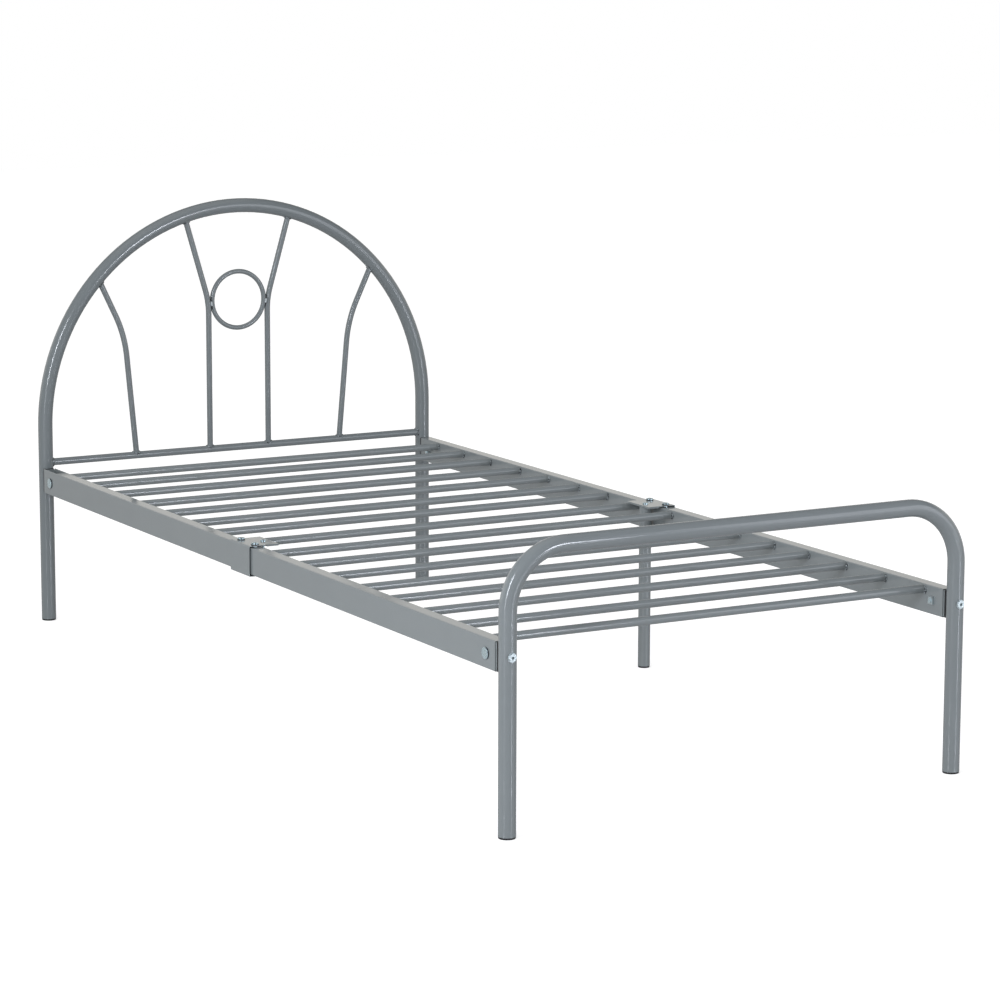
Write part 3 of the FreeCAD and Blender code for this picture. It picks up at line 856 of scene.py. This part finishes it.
    def _crease_bead(self, side: Side, face: int, radius: float, ends: tuple[float, float],
                     lift: float) -> bpy.types.Object:
        """Lays one bead in the crease between the ring and an inner spindle.

        Args:
            side: the side of the headboard.
            face: -1 for the face towards the foot, 1 for the back.
            radius: the bead's radius.
            ends: angles of its two ends, over the level of the ring's middle.
            lift: how far it stands out from the crease.

        Returns:
            The bead.
        """
        low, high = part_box("headboard_ring")
        middle = (low + high) / 2 + Vector((0, face * (self.crease_y + lift), 0))
        first = ends[0] if side is Side.RIGHT else math.pi - ends[1]
        bead = WeldBead(name="crease_bead", centre=middle, axis=Vector((0, -1, 0)),
                        tube_radius=self.crease_r, bead_radius=radius,
                        start=Vector((math.cos(first), 0, math.sin(first))),
                        sweep=ends[1] - ends[0], sections=10, drops=2, seed=self.ring_seed + face)
        return bead.build()


@dataclass
class Footboard(SubAssembly):
    """The bent hoop at the foot."""

    def build(self) -> None:
        """Dresses the hoop."""
        dress(["footboard_hoop_tube"], self.finishes.footboard_painted_shade_coat)


@dataclass
class SlatBase(SubAssembly):
    """The side rails with the slats that are welded between them."""

    bead: float = 2.3 * MM        # radius of the bead's own section
    stand: float = 0.35           # part of the bead's radius by which its middle stands off the slat
    lift: float = 0.5 * MM        # the bead's middle, off the rail's wall
    begin: float = math.radians(42.0)   # from the slat's top to the bead, over the foot side
    sweep: float = math.radians(112.0)
    ripple: float = 0.30
    variants: int = 4             # patterns of drops that take turns along the rail
    first_seed: int = 5
    seed_step: int = 10

    def build(self) -> None:
        """Dresses rails, brackets and slats and lays the welds at the slats' ends."""
        rails = [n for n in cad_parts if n.startswith(("side_rail_", "rail_bracket_"))]
        slats = sorted(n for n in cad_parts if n.startswith("slat_"))
        dress(rails, self.finishes.sheet_coat)
        dress(slats, self.finishes.tube_coat)
        for side in Side:
            self._welds(side, slats)

    def _welds(self, side: Side, slats: list[str]) -> None:
        """Lays a bead round the foot side of every slat's end, on one rail's inner wall.

        Args:
            side: the rail.
            slats: the slats' node names, from the headboard on.
        """
        low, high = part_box(slats[0])
        radius = (high.z - low.z) / 2
        wall = side.value * high.x
        patterns = []
        for index in range(self.variants):
            turn = self.begin if side is Side.LEFT else self.begin + self.sweep
            bead = WeldBead(
                name="slat_weld_pattern_%d" % index,
                centre=Vector((wall - side.value * self.lift, (low.y + high.y) / 2,
                               (low.z + high.z) / 2)),
                axis=Vector((-side.value, 0, 0)), tube_radius=radius + self.bead * self.stand,
                bead_radius=self.bead, start=Vector((0, -math.sin(turn), math.cos(turn))),
                sweep=self.sweep, drops=3 + index % 2, ripple=self.ripple,
                seed=self.seed_step * index + side.value + self.first_seed)
            patterns.append(bead.build())
        beads = []
        for index, name in enumerate(slats):
            station = (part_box(name)[0].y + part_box(name)[1].y) / 2 - (low.y + high.y) / 2
            pattern = patterns[index % self.variants]
            beads.append(copy_piece(pattern, "bead_%02d" % index, Vector((0, station, 0))))
        for pattern in patterns:
            bpy.data.objects.remove(pattern)
        whole = join_pieces(beads, "slat_welds_" + side.name.lower())
        self.add(whole, self.finishes.weld_coat_painted_glints_and_shade, "grey_paint")


@dataclass
class MiddleSupport(SubAssembly):
    """The connectors over the rails' middle joints and the leg under the right-hand one."""

    def build(self) -> None:
        """Dresses the connectors, the leg and its plug."""
        dress(["middle_connector_left", "middle_connector_right"], self.finishes.sheet_coat)
        dress(["middle_leg_right"], self.finishes.tube_coat)
        dress(["middle_leg_plug"], self.finishes.zinc)


@dataclass
class Fasteners(SubAssembly):
    """Bolts, screws, washers and nuts."""

    bright: tuple[str, ...] = ("rail_bolts", "joint_bolts", "joint_nuts", "middle_leg_screws")
    satin: tuple[str, ...] = ("leg_screws", "leg_washers", "rail_nuts")
    # near black: these darken the strips between the rail ends and the legs and the lines under the bolt
    # heads
    plastic: tuple[str, ...] = ("rail_spacers", "joint_spacers", "leg_saddles")

    def build(self) -> None:
        """Plates every fastener and dresses the plastic washers and pads under them."""
        dress(self.bright, self.finishes.zinc)
        dress(self.satin, self.finishes.satin_zinc)
        dress(self.plastic, self.finishes.plastic)


@dataclass
class Glides(SubAssembly):
    """The plastic plugs under the legs."""

    def build(self) -> None:
        """Dresses the glides."""
        dress(["foot_glides", "middle_leg_glide"], self.finishes.plastic)


def main() -> None:
    """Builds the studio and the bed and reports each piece."""
    logging.basicConfig(level=logging.INFO, format="%(name)s: %(message)s")
    Studio().build()
    finishes = Finishes.make()
    kinds: tuple[type[SubAssembly], ...] = (Headboard, Footboard, SlatBase, MiddleSupport, Fasteners, Glides)
    for kind in kinds:
        assembly = kind(finishes)
        assembly.build()
        log.info("%s done with %d new pieces", kind.__name__, len(assembly.pieces))


if __name__ == "__main__":
    main()
